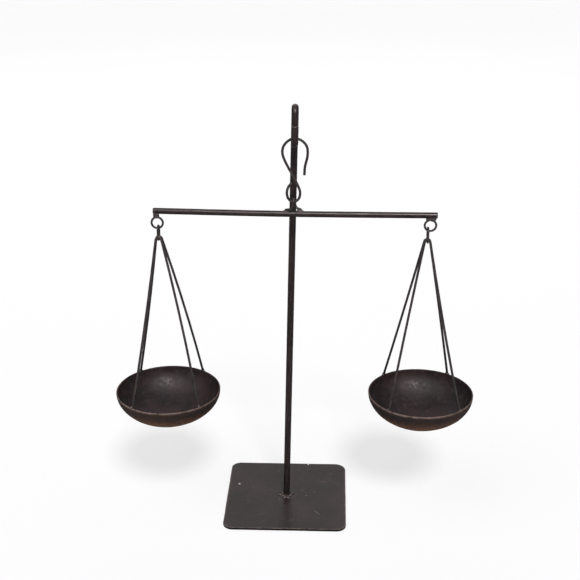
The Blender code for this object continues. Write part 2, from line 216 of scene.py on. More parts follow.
def post_path():
    """Centre line of the post: up, over the crook, through the trough and up to its tip."""
    top_centre = (-CROOK_RADIUS, CROOK_TOP - CROOK_RADIUS)
    trough_centre = (HANG_Y, TROUGH_BOTTOM + TROUGH_RADIUS)
    flat = [(0.0, PLATE_THICK)]
    flat += arc(top_centre, CROOK_RADIUS, 0, 180, 24)
    flat += arc(trough_centre, TROUGH_RADIUS, 0, -180, 24)
    flat += [(HANG_Y - TROUGH_RADIUS, CROOK_TIP)]
    return [(post_x(y, z), y, z) for y, z in flat]


def eye_path():
    """Centre line of the twisted staple: its arch crosses over the hook's wire."""
    arch = [(PIVOT_X + EYE_SHIFT, HANG_Y + y, HOOK_EYE_BOTTOM + z)
            for y, z in arc((0.0, 0.0), EYE_ARCH, 180, 0, 16)]
    left = smooth(((0.0010, HANG_Y - 0.0004, 0.3957), (0.0024, HANG_Y - 0.0008, 0.3965),
                   (0.0066, HANG_Y - 0.0024, 0.3977), (0.0096, HANG_Y - 0.0034, 0.4015),
                   arch[0]), 6)
    right = smooth((arch[-1], (0.0118, HANG_Y + 0.0034, 0.4015),
                    (0.0143, HANG_Y + 0.0024, 0.3977), (0.0182, HANG_Y + 0.0008, 0.3965),
                    (0.0196, HANG_Y + 0.0004, 0.3957)), 6)
    return left[:-1] + arch + right[1:]


def hang_point(side):
    """Centre of the link's upper wire, where it rests inside its ring."""
    x, z = RING_CENTRES[side]
    reach = RING_RADIUS - RING_WIRE - LINK_WIRE - GAP
    slip = RING_SLIP[side]
    return x + slip, z - (reach ** 2 - slip ** 2) ** 0.5


def link_path(side):
    """Centre line of a link: a long oval that stands across its ring."""
    x, top = hang_point(side)
    upper = arc((HANG_Y, top - LINK_BOW), LINK_BOW, 0, 180, 20)
    lower = arc((HANG_Y, LINK_FOOT + LINK_BOW), LINK_BOW, 180, 360, 20)
    return [(x, y, z) for y, z in upper + lower]


def wire_end(side, row, angle):
    """Lower end of a bail wire: inside the wall in front, in the rim at the back."""
    x, rim = PAN_CENTRES[side]
    if row == "front":
        squeeze = FRONT_END_DEPTH / (BOWL_DEPTH - BOWL_WALL)
        wall = (BOWL_RADIUS - BOWL_WALL) * (1 - squeeze ** 2) ** 0.5
        reach = wall - BAIL_WIRE
        height = rim - FRONT_END_DEPTH
    else:
        reach = BOWL_RADIUS - BOWL_WALL / 2
        height = rim
    turn = radians(angle)
    return Vector((x + reach * cos(turn), HANG_Y + reach * sin(turn), height))


def bowed_leg(end, top, bow):
    """Points of a slightly bowed leg, from its end up to its bend but without the bend."""
    across = Vector((bow, 0.0, 0.0))
    steps = [i / LEG_STEPS for i in range(LEG_STEPS)]
    return [end.lerp(top, t) + 4 * t * (1 - t) * across for t in steps]


def bail_path(side, row):
    """Centre line of one bail: a leg, a tight bend over the link, and the other leg."""
    y = HANG_Y + (-BAIL_SPREAD if row == "front" else BAIL_SPREAD)
    apex = Vector((hang_point(side)[0] + BAIL_SHIFT, y, LINK_FOOT + BAIL_ARCH))
    ends = [wire_end(side, row, angle) for angle in LEG_ANGLES[side][row]]
    across = Vector((1.0, 0.0, 0.0))
    down = (ends[0] + ends[1]) / 2 - apex
    down.x = 0.0
    down.normalize()
    centre = apex + BAIL_ARCH * down
    bends = []
    for end in ends:
        sideways = abs((end - centre).dot(across))
        below = (end - centre).dot(down)
        touch = atan2(sideways, below) + acos(BAIL_ARCH / hypot(sideways, below))
        bends.append(180.0 - degrees(touch))
    turns = [-bends[0] + (bends[0] + bends[1]) * i / 20 for i in range(21)]
    bend = [centre + BAIL_ARCH * (sin(radians(t)) * across - cos(radians(t)) * down)
            for t in turns]
    bows = LEG_BOWS[side][row]
    first = bowed_leg(ends[0], bend[0], bows[0])
    second = bowed_leg(ends[1], bend[-1], bows[1])
    return first + bend + second[::-1]


# ---- meshes ------------------------------------------------------------------------------


def new_piece(name, verts, faces, values=None):
    """Mesh object in world coordinates; values are per-point numbers for its material."""
    mesh = bpy.data.meshes.new(name)
    mesh.from_pydata([tuple(v) for v in verts], [], faces)
    mesh.validate()
    for key, data in (values or {}).items():
        data = np.asarray(data, float)
        if data.ndim == 2:
            mesh.attributes.new(key, "FLOAT_VECTOR", "POINT").data.foreach_set(
                "vector", data.ravel())
        else:
            mesh.attributes.new(key, "FLOAT", "POINT").data.foreach_set("value", data)
    mesh.shade_smooth()
    piece = bpy.data.objects.new(name, mesh)
    bpy.context.scene.collection.objects.link(piece)
    return piece


def wear_and_highlight_at(point, rubs_and_highlights):
    """Value at a point: 1 at a place of rubbing and at a place of painted highlight, fading out
    over that place's radius.
    """
    worn_and_lit = 0.0
    for place, reach in rubs_and_highlights:
        worn_and_lit = max(worn_and_lit, 1.0 - (Vector(point) - Vector(place)).length / reach)
    return worn_and_lit


def tube(name, points, radius, closed=False, sides=20, step=0.0013, uneven=0.014,
         easing=0.35, rubs_and_highlights=(), end_wear=1.0):
    """Drawn or forged rod along a line, a little uneven, with eased ends.

    The points carry flow, a coordinate along and round the rod, and a value for bare metal where
    other parts rub and for a painted highlight at a lit place; rubs_and_highlights gives each
    such place with how far it reaches, and end_wear is how bare the cut ends are.
    """
    line = np.array([tuple(p) for p in points], float)
    if closed:
        line = np.vstack([line, line[:1]])
    gaps = np.linalg.norm(np.diff(line, axis=0), axis=1)
    line = line[np.concatenate([[True], gaps > TINY])]
    gaps = np.linalg.norm(np.diff(line, axis=0), axis=1)
    travel = np.concatenate([[0.0], np.cumsum(gaps)])
    total = travel[-1]

    def place(s):
        return np.array([np.interp(s, travel, line[:, k]) for k in range(3)])

    ease = easing * radius
    if closed:
        count = max(24, int(total / step))
        stations = [(total * i / count, 1.0, 0.0) for i in range(count)]
    else:
        count = max(6, int((total - 2 * ease) / step))
        head = [(0.0, f * (1 - easing), 0.6) for f in (0.4, 0.8)]
        head += [(ease * (1 - sin(a)), 1 - easing + easing * cos(a), 1.0)
                 for a in (pi / 2, pi / 3, pi / 6)]
        body = [(ease + (total - 2 * ease) * i / count, 1.0, 0.0) for i in range(count + 1)]
        tail = [(total - s, f, w) for s, f, w in reversed(head)]
        stations = head + body + tail
    reach = 0.5 * step
    frames, normal = [], None
    for s, factor, worn_and_lit in stations:
        if closed:
            ahead, behind = place((s + reach) % total), place((s - reach) % total)
        else:
            ahead, behind = place(min(s + reach, total)), place(max(s - reach, 0.0))
        tangent = Vector(ahead - behind).normalized()
        if normal is None:
            side = Vector((0.0, 1.0, 0.0)) if abs(tangent.y) < 0.8 else Vector((1.0, 0, 0))
            normal = side.cross(tangent).normalized()
        else:
            normal = (normal - normal.dot(tangent) * tangent).normalized()
        frames.append((s, Vector(place(s)), tangent, normal.copy(), factor, worn_and_lit))
    verts, flow, wear_and_light = [], [], []
    for s, centre, tangent, across, factor, worn_and_lit in frames:
        other = tangent.cross(across)
        for k in range(sides):
            a = 2 * pi * k / sides
            way = cos(a) * across + sin(a) * other
            spot = centre + radius * factor * way
            rise = noise.noise(spot * ROD_WAVES[0])
            rise += ROD_FINE_SHARE * noise.noise(spot * ROD_WAVES[1])
            spot = centre + radius * factor * (1 + uneven * rise) * way
            verts.append(spot)
            flow.append((s, radius * cos(a), radius * sin(a)))
            end_near = 0.0 if closed else max(0.0, 1 - min(s, total - s) / (1.2 * radius))
            wear_and_light.append(max(end_wear * max(worn_and_lit, 0.7 * end_near), wear_and_highlight_at(spot, rubs_and_highlights)))
    rings = len(frames)
    faces = []
    for i in range(rings if closed else rings - 1):
        j = (i + 1) % rings
        for k in range(sides):
            m = (k + 1) % sides
            faces.append((i * sides + k, i * sides + m, j * sides + m, j * sides + k))
    if not closed:
        for ring, turned in ((0, True), (rings - 1, False)):
            centre = frames[ring][1]
            verts.append(centre)
            flow.append((frames[ring][0], 0.0, 0.0))
            wear_and_light.append(0.6 * end_wear)
            hub = len(verts) - 1
            for k in range(sides):
                corners = (ring * sides + k, ring * sides + (k + 1) % sides, hub)
                faces.append(corners[::-1] if turned else corners)
    return new_piece(name, verts, faces, {"flow": [tuple(f) for f in flow], "wear_and_light": wear_and_light})


def settle(name, shapes, voxel=WELD_VOXEL, smoothing=WELD_RELAX, bumps=WELD_BUMPS, wear_and_light=0.0):
    """Melt overlapping shapes into one lumpy skin, as weld metal sets."""
    shape = bmesh.new()
    for centre, radii in shapes:
        made = bmesh.ops.create_icosphere(shape, subdivisions=3, radius=1.0)["verts"]
        bmesh.ops.scale(shape, vec=radii, verts=made)
        bmesh.ops.translate(shape, vec=centre, verts=made)
    mesh = bpy.data.meshes.new(name + "_raw")
    shape.to_mesh(mesh)
    shape.free()
    raw = bpy.data.objects.new(name + "_raw", mesh)
    bpy.context.scene.collection.objects.link(raw)
    remesh = raw.modifiers.new("melt", "REMESH")
    remesh.mode = "VOXEL"
    remesh.voxel_size = voxel
    relax = raw.modifiers.new("relax", "SMOOTH")
    relax.iterations = smoothing
    relax.factor = 0.5
    bpy.context.view_layer.update()
    depsgraph = bpy.context.evaluated_depsgraph_get()
    melted = bpy.data.meshes.new_from_object(raw.evaluated_get(depsgraph))
    verts = []
    for vertex in melted.vertices:
        rise = noise.noise(vertex.co * 420) + 0.5 * noise.noise(vertex.co * 1100)
        verts.append(vertex.co + bumps * rise * vertex.normal)
    faces = [tuple(face.vertices) for face in melted.polygons]
    bpy.data.objects.remove(raw, do_unlink=True)
    return new_piece(name, verts, faces, {"wear_and_light": np.full(len(verts), wear_and_light)})


def string_of_beads(start, end, count, thick, thin):
    """Overlapping ellipsoids from one point to another, as a weld's separate dabs."""
    start, end = Vector(start), Vector(end)
    shapes = []
    for i in range(count):
        t = i / max(1, count - 1)
        size = thin + (thick - thin) * sin(pi * (0.15 + 0.7 * t))
        shapes.append((start.lerp(end, t), (size, size, size)))
    return shapes


# ---- materials ---------------------------------------------------------------------------


def add(tree, kind, inputs=None, **settings):
    """Add a node; each input is a number, a colour, or another node's socket."""
    node = tree.nodes.new(kind)
    for key, value in settings.items():
        setattr(node, key, value)
    for key, value in (inputs or {}).items():
        if isinstance(value, bpy.types.NodeSocket):
            tree.links.new(value, node.inputs[key])
        else:
            node.inputs[key].default_value = value
    return node


def grain(tree, vector, scale, detail=4.0, roughness=0.55, distortion=0.0):
    """Noise value from 0 to 1 over the surface."""
    return add(tree, "ShaderNodeTexNoise",
               {"Vector": vector, "Scale": scale, "Detail": detail, "Roughness": roughness,
                "Distortion": distortion}).outputs["Fac"]


def stretch(tree, vector, scale, turn=(0.0, 0.0, 0.0)):
    """The coordinates, scaled differently along each axis."""
    return add(tree, "ShaderNodeMapping",
               {"Vector": vector, "Scale": scale, "Rotation": turn}).outputs["Vector"]


def remap(tree, value, low, high, to_low=0.0, to_high=1.0):
    """Move a value from one range to another, smoothly and clamped."""
    return add(tree, "ShaderNodeMapRange",
               {"Value": value, "From Min": low, "From Max": high,
                "To Min": to_low, "To Max": to_high},
               interpolation_type="SMOOTHSTEP").outputs["Result"]


def calc(tree, operation, a, b, clamp=False):
    """One sum on two values."""
    node = add(tree, "ShaderNodeMath", operation=operation, use_clamp=clamp)
    for socket, value in zip(node.inputs, (a, b)):
        if isinstance(value, bpy.types.NodeSocket):
            tree.links.new(value, socket)
        else:
            socket.default_value = value
    return node.outputs["Value"]


def blend(tree, amount, first, second):
    """Mix two colours; a colour is three numbers or a socket."""
    node = add(tree, "ShaderNodeMix", data_type="RGBA")
    for socket, value in zip((node.inputs[0], node.inputs[6], node.inputs[7]),
                             (amount, first, second)):
        if isinstance(value, bpy.types.NodeSocket):
            tree.links.new(value, socket)
        elif isinstance(value, tuple):
            socket.default_value = (*value, 1.0)
        else:
            socket.default_value = value
    return node.outputs[2]


def attribute(tree, name):
    """A per-point number or vector that the mesh carries."""
    return add(tree, "ShaderNodeAttribute", attribute_name=name)


def stroke(tree, vector, place, length, width, turn):
    """Soft long mark on the XY plane, from 0 to 1, at a place and an angle in degrees."""
    moved = add(tree, "ShaderNodeMapping",
                {"Vector": vector, "Location": (*place, PLATE_THICK),
                 "Rotation": (0.0, 0.0, radians(turn)),
                 "Scale": (length / 2, width / 2, 0.01)}, vector_type="TEXTURE")
    return add(tree, "ShaderNodeTexGradient", {"Vector": moved.outputs["Vector"]},
               gradient_type="SPHERICAL").outputs["Fac"]


def new_finish(name, metallic, specular):
    """Material with a Principled shader whose constant values are set on its sockets."""
    material = bpy.data.materials.new(name)
    material.use_nodes = True
    shader = material.node_tree.nodes["Principled BSDF"]
    shader.inputs["Metallic"].default_value = metallic
    shader.inputs["Specular IOR Level"].default_value = specular
    return material, material.node_tree, shader


def finish_off(tree, shader, colour, roughness, bumps):
    """Connect colour, roughness and a chain of bumps, each a height and a depth."""
    tree.links.new(colour, shader.inputs["Base Color"])
    tree.links.new(roughness, shader.inputs["Roughness"])
    normal = None
    for height, depth in bumps:
        inputs = {"Height": height, "Distance": depth, "Strength": 1.0}
        if normal is not None:
            inputs["Normal"] = normal
        normal = add(tree, "ShaderNodeBump", inputs).outputs["Normal"]
    tree.links.new(normal, shader.inputs["Normal"])


def plate_finish():
    """Rolled sheet, waxed dark: mottled, a little scratched, a painted shade on its side face,
    and a pale eased top edge that is partly bare metal, partly a painted highlight.
    """
    material, tree, shader = new_finish("plate_finish", 0.0, 0.27)
    at = add(tree, "ShaderNodeTexCoord").outputs["Object"]
    broad = grain(tree, at, 22.0, 3.0, 0.5, 0.6)
    middle = grain(tree, at, 130.0, 5.0, 0.6)
    fine = grain(tree, at, 1300.0, 3.0, 0.6)
    rolled = grain(tree, stretch(tree, at, (35.0, 420.0, 60.0), (0, 0, 0.12)), 1.0, 4.0, 0.6)
    wear_and_light = attribute(tree, "wear_and_light").outputs["Fac"]
    colour = blend(tree, remap(tree, broad, 0.35, 0.7), (0.0130, 0.0090, 0.0092),
                   (0.0255, 0.0162, 0.0150))
    colour = blend(tree, remap(tree, middle, 0.45, 0.72, 0.0, 0.7), colour,
                   (0.0390, 0.0310, 0.0300))
    colour = blend(tree, remap(tree, rolled, 0.42, 0.2, 0.0, 0.7), colour,
                   (0.0080, 0.0065, 0.0065))
    specks = add(tree, "ShaderNodeTexVoronoi", {"Vector": at, "Scale": 95.0}).outputs
    speck = remap(tree, specks["Distance"], 0.10, 0.05)
    chosen = remap(tree, specks["Color"], 0.80, 0.84)
    speck = calc(tree, "MULTIPLY", speck, chosen)
    colour = blend(tree, calc(tree, "MULTIPLY", speck, 0.5), colour, (0.16, 0.15, 0.145))
    marks = [stroke(tree, at, *scratch) for scratch in SCRATCHES]
    scratch = marks[0]
    for mark in marks[1:]:
        scratch = calc(tree, "MAXIMUM", scratch, mark)
    scratch = remap(tree, scratch, 0.1, 0.7)
    colour = blend(tree, calc(tree, "MULTIPLY", scratch, 0.55), colour, (0.22, 0.205, 0.20))
    # painted shade: the side face and lower edge, where the value is negative, are darkened as
    # if turned away from the light
    colour = blend(tree, remap(tree, wear_and_light, -0.1, -0.5), colour, (0.007, 0.0055, 0.0055))
    # pale eased top edge: partly bare metal, partly a painted highlight where the edge catches
    # the light
    chipped_and_lit = calc(tree, "MULTIPLY", wear_and_light, remap(tree, middle, 0.30, 0.60), True)
    colour = blend(tree, calc(tree, "MULTIPLY", chipped_and_lit, 0.75), colour, (0.150, 0.125, 0.115))
    rough = remap(tree, middle, 0.3, 0.75, 0.30, 0.40)
    rough = calc(tree, "ADD", rough, remap(tree, fine, 0.3, 0.8, -0.03, 0.05))
    rough = calc(tree, "SUBTRACT", rough, calc(tree, "MULTIPLY", scratch, 0.08))
    finish_off(tree, shader, colour, rough,
               ((middle, 0.00004), (rolled, 0.00004), (fine, 0.00002)))
    return material


def rod_finish(name, dark, pale, rust, specular, roughness):
    """Black-waxed round bar: streaks along its length, grey where handled, rust in spots, and a
    painted highlight at a lit place.
    """
    material, tree, shader = new_finish(name, 0.0, specular)
    at = add(tree, "ShaderNodeTexCoord").outputs["Object"]
    flow = attribute(tree, "flow").outputs["Vector"]
    wear_and_light = attribute(tree, "wear_and_light").outputs["Fac"]
    streaks = grain(tree, stretch(tree, flow, (90.0, 900.0, 900.0)), 1.0, 4.0, 0.6)
    patches = grain(tree, at, 60.0, 4.0, 0.6, 0.8)
    pits = grain(tree, at, 900.0, 3.0, 0.6)
    colour = blend(tree, remap(tree, streaks, 0.40, 0.65), dark, pale)
    colour = blend(tree, remap(tree, patches, 0.52, 0.72, 0.0, 0.7), colour, rust)
    colour = blend(tree, remap(tree, pits, 0.42, 0.28, 0.0, 0.6), colour,
                   tuple(0.35 * c for c in dark))
    # grey where parts rub, and a painted highlight at a listed lit place such as the crook's top
    rubbed_and_lit = calc(tree, "MULTIPLY", wear_and_light, remap(tree, pits, 0.30, 0.60), True)
    colour = blend(tree, calc(tree, "MULTIPLY", rubbed_and_lit, 0.8), colour, (0.070, 0.062, 0.060))
    rough = remap(tree, patches, 0.3, 0.7, roughness - 0.06, roughness + 0.10)
    rough = calc(tree, "ADD", rough, remap(tree, pits, 0.3, 0.7, 0.06, -0.04))
    rough = calc(tree, "SUBTRACT", rough, calc(tree, "MULTIPLY", rubbed_and_lit, 0.08))
    finish_off(tree, shader, colour, rough,
               ((patches, 0.00018), (streaks, 0.00006), (pits, 0.00003)))
    return material


def bowl_finish():
    """Pressed iron bowl: dark and satin inside, browner with thin rust streaks outside."""
    material, tree, shader = new_finish("bowl_finish", 0.0, 0.42)
    at = add(tree, "ShaderNodeTexCoord").outputs["Object"]
    wear_and_light = attribute(tree, "wear_and_light").outputs["Fac"]
    outer = attribute(tree, "outer").outputs["Fac"]
    depth = attribute(tree, "depth").outputs["Fac"]
    broad = grain(tree, at, 30.0, 4.0, 0.55, 0.7)
    middle = grain(tree, at, 160.0, 5.0, 0.6)
    fine = grain(tree, at, 1200.0, 3.0, 0.6)
    runs = grain(tree, stretch(tree, at, (210.0, 210.0, 26.0)), 1.0, 4.0, 0.6)
    inside = blend(tree, remap(tree, broad, 0.35, 0.7), (0.0120, 0.0078, 0.0094),
                   (0.0260, 0.0140, 0.0150))
    inside = blend(tree, remap(tree, middle, 0.48, 0.72, 0.0, 0.7), inside,
                   (0.0340, 0.0240, 0.0255))
    brown = blend(tree, remap(tree, broad, 0.35, 0.65), (0.0150, 0.0085, 0.0072),
                  (0.0260, 0.0135, 0.0090))
    rust_share = calc(tree, "MULTIPLY", remap(tree, depth, 0.15, 0.65),
                      remap(tree, runs, 0.28, 0.55))
    brown = blend(tree, rust_share, brown, (0.1350, 0.0500, 0.0120))
    brown = blend(tree, remap(tree, runs, 0.40, 0.25, 0.0, 0.5), brown, (0.0100, 0.0070, 0.0065))
    colour = blend(tree, outer, inside, brown)
    colour = blend(tree, remap(tree, fine, 0.40, 0.26, 0.0, 0.5), colour,
                   (0.004, 0.0035, 0.0035))
    # pale rim line: bare metal and a painted highlight, strongest at the front
    chipped_and_lit = calc(tree, "MULTIPLY", wear_and_light, remap(tree, middle, 0.28, 0.58), True)
    colour = blend(tree, calc(tree, "MULTIPLY", chipped_and_lit, 0.85), colour, (0.210, 0.150, 0.130))
    rough = remap(tree, middle, 0.35, 0.65, 0.46, 0.66)
    rough = calc(tree, "ADD", rough, calc(tree, "MULTIPLY", outer, 0.06))
    rough = calc(tree, "ADD", rough, remap(tree, fine, 0.3, 0.7, 0.03, -0.03))
    finish_off(tree, shader, colour, rough,
               ((broad, 0.00030), (middle, 0.00016), (fine, 0.00002)))
    return material


def weld_finish():
    """Weld metal: dark and glassy with heat tints, with painted highlights on its crests."""
    material, tree, shader = new_finish("weld_finish", 0.2, 0.6)
    at = add(tree, "ShaderNodeTexCoord").outputs["Object"]
    tint = grain(tree, at, 320.0, 3.0, 0.5, 1.0)
    pits = grain(tree, at, 1500.0, 4.0, 0.6)
    ripple = add(tree, "ShaderNodeTexWave",
                 {"Vector": at, "Scale": 260.0, "Distortion": 5.0, "Detail": 2.0},
                 wave_type="RINGS").outputs["Fac"]
    colour = blend(tree, remap(tree, tint, 0.35, 0.65), (0.0150, 0.0115, 0.0125),
                   (0.0400, 0.0250, 0.0215))
    # painted highlight: pale colour on the ripple crests stands for light caught there
    colour = blend(tree, remap(tree, ripple, 0.60, 0.95, 0.0, 0.7), colour,
                   (0.2300, 0.2050, 0.2050))
    colour = blend(tree, remap(tree, pits, 0.42, 0.26, 0.0, 0.8), colour,
                   (0.004, 0.0035, 0.0035))
    rough = remap(tree, pits, 0.3, 0.7, 0.48, 0.26)
    finish_off(tree, shader, colour, rough,
               ((ripple, 0.00012), (tint, 0.00025), (pits, 0.00004)))
    return material


def spatter_and_glint_finish():
    """Drops of weld metal, pale grey with dark pits: bare metal with a painted glint."""
    material, tree, shader = new_finish("spatter_and_glint_finish", 0.3, 0.6)
    at = add(tree, "ShaderNodeTexCoord").outputs["Object"]
    pits = grain(tree, at, 1400.0, 4.0, 0.6)
    # pale grey: bare weld metal with a painted glint
    colour = blend(tree, remap(tree, pits, 0.30, 0.60), (0.120, 0.105, 0.100),
                   (0.520, 0.490, 0.470))
    finish_off(tree, shader, colour, remap(tree, pits, 0.3, 0.7, 0.45, 0.30),
               ((pits, 0.00005),))
    return material


def floor_finish():
    """Plain pale floor with a very faint grain."""
    material, tree, shader = new_finish("floor_finish", 0.0, 0.2)
    at = add(tree, "ShaderNodeTexCoord").outputs["Object"]
    cloud = grain(tree, at, 3.0, 3.0)
    colour = blend(tree, cloud, (0.33, 0.343, 0.36), (0.34, 0.353, 0.37))
    shader.inputs["Emission Color"].default_value = (1.0, 1.0, 0.995, 1.0)
    shader.inputs["Emission Strength"].default_value = 0.63
    finish_off(tree, shader, colour, remap(tree, cloud, 0.3, 0.7, 0.75, 0.85),
               ((cloud, 0.0001),))
    return material


# ---- pieces ------------------------------------------------------------------------------


def dress(piece, body, slot, material, *nodes):
    """Give a piece its body and its material, and hide the CAD nodes it stands for; slot is not
    used.
    """
    piece.data.materials.append(material)
    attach(piece, body)
    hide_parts(*nodes)
    return piece


def plate_piece():
    """Square sheet with round corners: eased, slightly uneven edges and a rolled face."""
    half = PLATE_SIDE / 2
    outline = []
    for turn, (sx, sy) in enumerate(((1, 1), (-1, 1), (-1, -1), (1, -1))):
        corner = PLATE_CORNER + (SHEET_CORNER_EXTRA if turn == 0 else 0.0)
        centre = (sx * (half - corner), sy * (half - corner))
        outline += arc(centre, corner, 90 * turn, 90 * turn + 90, 14)
    loop = np.array(outline)
    loop = np.vstack([loop, loop[:1]])
    travel = np.concatenate([[0], np.cumsum(np.linalg.norm(np.diff(loop, axis=0), axis=1))])
    count = SHEET_POINTS
    along = np.arange(count) * travel[-1] / count
    rim = np.stack([np.interp(along, travel, loop[:, k]) for k in range(2)], axis=1)
    inward = -rim / np.linalg.norm(rim, axis=1)[:, None]
    quarter = [(SHEET_EASE * (1 - sin(radians(a))), SHEET_EASE * (1 - cos(radians(a))))
               for a in (0, 30, 60, 90)]
    # third number: bare-edge value and painted light; negative values put a painted shade on the
    # lower edge and side face, and high values along the eased top edge put a painted highlight
    # over a bare edge
    rings = [(inset, height, -0.6) for inset, height in quarter]
    rings += [(0.0, 0.0012, -0.6), (0.0, 0.0020, -0.6)]
    rings += [(inset, PLATE_THICK - height, worn_and_lit) for (inset, height), worn_and_lit in
              zip(quarter[::-1], (-0.4, 0.3, 1.0, 1.0))]
    rings += [(SHEET_EASE + 0.0006, PLATE_THICK, 0.4), (0.0030, PLATE_THICK, 0.0)]
    verts, wear_and_light = [], []
    for inset, z, worn_and_lit in rings:
        for (x, y), (dx, dy) in zip(rim, inward):
            wave = 0.00022 * noise.noise(Vector((x * 30, y * 30, 1.7)))
            wave += 0.00012 * noise.noise(Vector((x * 140, y * 140, 4.2)))
            shift = inset + wave + SHEET_SLACK
            verts.append((x + dx * shift, y + dy * shift, z))
            wear_and_light.append(worn_and_lit)
    faces = []
    for i in range(len(rings) - 1):
        for k in range(count):
            m = (k + 1) % count
            faces.append((i * count + k, i * count + m,
                          (i + 1) * count + m, (i + 1) * count + k))
    last = (len(rings) - 1) * count
    for share in SHEET_SHARES:
        for k in range(count):
            x, y, _ = verts[last + k]
            spot = Vector((x * share, y * share, PLATE_THICK))
            spot.z += 0.00012 * noise.noise(spot * 45)
            verts.append(tuple(spot))
            wear_and_light.append(0.0)
    rows = [last] + [last + (i + 1) * count for i in range(len(SHEET_SHARES))]
    for a, b in zip(rows, rows[1:]):
        for k in range(count):
            m = (k + 1) % count
            faces.append((a + k, a + m, b + m, b + k))
    verts.append((0.0, 0.0, PLATE_THICK))
    verts.append((0.0, 0.0, 0.0))
    wear_and_light += [0.0, 0.0]
    for k in range(count):
        m = (k + 1) % count
        faces.append((rows[-1] + k, rows[-1] + m, len(verts) - 2))
        faces.append((m, k, len(verts) - 1))
    return new_piece("plate_sheet", verts, faces, {"wear_and_light": wear_and_light})


def bowl_piece(side):
    """Pressed bowl: a half ellipsoid of even wall with small dents and a rounded rim."""
    x, rim = PAN_CENTRES[side]
    seed = Vector((1.0, 1.0, 1.0)) * BOWL_SEEDS[side]
    count = BOWL_COUNT
    lip = BOWL_WALL / 2
    angles = [BOWL_START + (pi / 2 - BOWL_START) * i / BOWL_STEPS for i in range(1, BOWL_STEPS)]
    profile = [(BOWL_RADIUS * cos(a), -BOWL_DEPTH * sin(a), 1.0, sin(a), 0.0)
               for a in reversed(angles)]
    # the rounded rim gets a high value: its pale line is partly bare metal, partly a painted
    # highlight
    for t in range(0, 181, 30):
        a = radians(t)
        worn_and_lit = 1.0 if 0 < t < 180 else 0.7
        profile.append((BOWL_RADIUS - lip + lip * cos(a), LIP_RISE * (sin(a) - 1),
                        0.5 + 0.5 * cos(a), 0.0, worn_and_lit))
    profile += [((BOWL_RADIUS - BOWL_WALL) * cos(a), -(BOWL_DEPTH - BOWL_WALL) * sin(a),
                 0.0, sin(a), 0.0) for a in angles]
    verts, outer, depth, wear_and_light = [], [], [], []

    def put(r, z, a, out, deep, worn_and_lit):
        spot = Vector((r * cos(a), r * sin(a), z))
        guide = Vector((BOWL_RADIUS * cos(a) * (1 - deep ** 2) ** 0.5,
                        BOWL_RADIUS * sin(a) * (1 - deep ** 2) ** 0.5, -BOWL_DEPTH * deep))
        guide += seed
        push = sum(deep_dent * noise.noise(guide * closeness) for closeness, deep_dent in DENTS)
        way = Vector((cos(a) * (1 - deep), sin(a) * (1 - deep), -deep)).normalized()
        closeness, height, sunk = RIM_WAVE
        spot += push * way
        wave = noise.noise(guide * closeness + Vector((9, 9, 9))) - sunk
        spot.z += (1 - deep) ** 4 * height * wave
        verts.append((x + spot.x, HANG_Y + spot.y, rim + spot.z))
        outer.append(out)
        depth.append(deep)
        # the rim's pale line is strongest at the front and fades towards the back: a painted
        # highlight where the front rim catches the light, over bare metal
        wear_and_light.append(worn_and_lit * max(0.1, 0.40 - 0.60 * sin(a + 0.15)))

    for r, z, out, deep, worn_and_lit in profile:
        for k in range(count):
            put(r, z, 2 * pi * k / count, out, deep, worn_and_lit)
    put(0.0, -BOWL_DEPTH, 0.0, 1.0, 1.0, 0.0)
    put(0.0, -(BOWL_DEPTH - BOWL_WALL), 0.0, 0.0, 1.0, 0.0)
    faces = []
    for i in range(len(profile) - 1):
        for k in range(count):
            m = (k + 1) % count
            faces.append((i * count + k, i * count + m,
                          (i + 1) * count + m, (i + 1) * count + k))
    low, top = len(verts) - 2, (len(profile) - 1) * count
    for k in range(count):
        m = (k + 1) % count
        faces.append((m, k, low))
        faces.append((top + k, top + m, len(verts) - 1))
    return new_piece(side + "_bowl_shell", verts, faces,
                     {"outer": outer, "depth": depth, "wear_and_light": wear_and_light})


def stand_pieces():
    """The plate with its spatter, the post, and the bead round the post's foot."""
    dress(plate_piece(), "stand", "iron_plate", PLATE, "base_plate")
    trough = Vector((post_x(HANG_Y, TROUGH_BOTTOM), HANG_Y, TROUGH_BOTTOM + POST_RADIUS))
    # the crook's top gets a painted highlight through the same values as the trough, where the
    # hook really rubs
    lit_crest = Vector((post_x(-CROOK_RADIUS, CROOK_TOP), -CROOK_RADIUS, CROOK_TOP + POST_RADIUS))
    rubs_and_highlights = ((trough, TROUGH_RUB), (lit_crest, CREST_HIGHLIGHT))
    post = tube("post_rod", post_path(), POST_RADIUS, sides=28, step=0.002, rubs_and_highlights=rubs_and_highlights,
                end_wear=0.3)
    dress(post, "stand", "iron_rod", ROD, "post")
    dabs = []
    for i in range(FOOT_DAB_COUNT):
        a = 2 * pi * i / FOOT_DAB_COUNT + 0.3
        size = 0.0023 + 0.0006 * sin(3.7 * i)
        reach = 0.0050 + 0.0008 * cos(2.3 * i)
        dabs.append((Vector((0.0003 + reach * cos(a), -0.0004 + reach * sin(a), PLATE_THICK)),
                     (size * 1.15, size * 1.15, 0.0018 + 0.0004 * cos(1.9 * i))))
    dabs += [(Vector((*spot, PLATE_THICK)), radii) for spot, radii in FOOT_DABS]
    bead = settle("foot_bead", dabs, voxel=0.00030, bumps=0.00018)
    dress(bead, "stand", "weld_bead", WELD, "post_foot_weld")
    drops = [(Vector((*spot, PLATE_THICK)), [size * share for share in SPATTER_SHAPE])
             for spot, size in SPATTER_SPOTS]
    spatter = settle("spatter", drops, voxel=0.00018, smoothing=2, bumps=0.00008, wear_and_light=1.0)
    spatter.data.materials.append(SPATTER_AND_GLINT)
    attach(spatter, "stand")


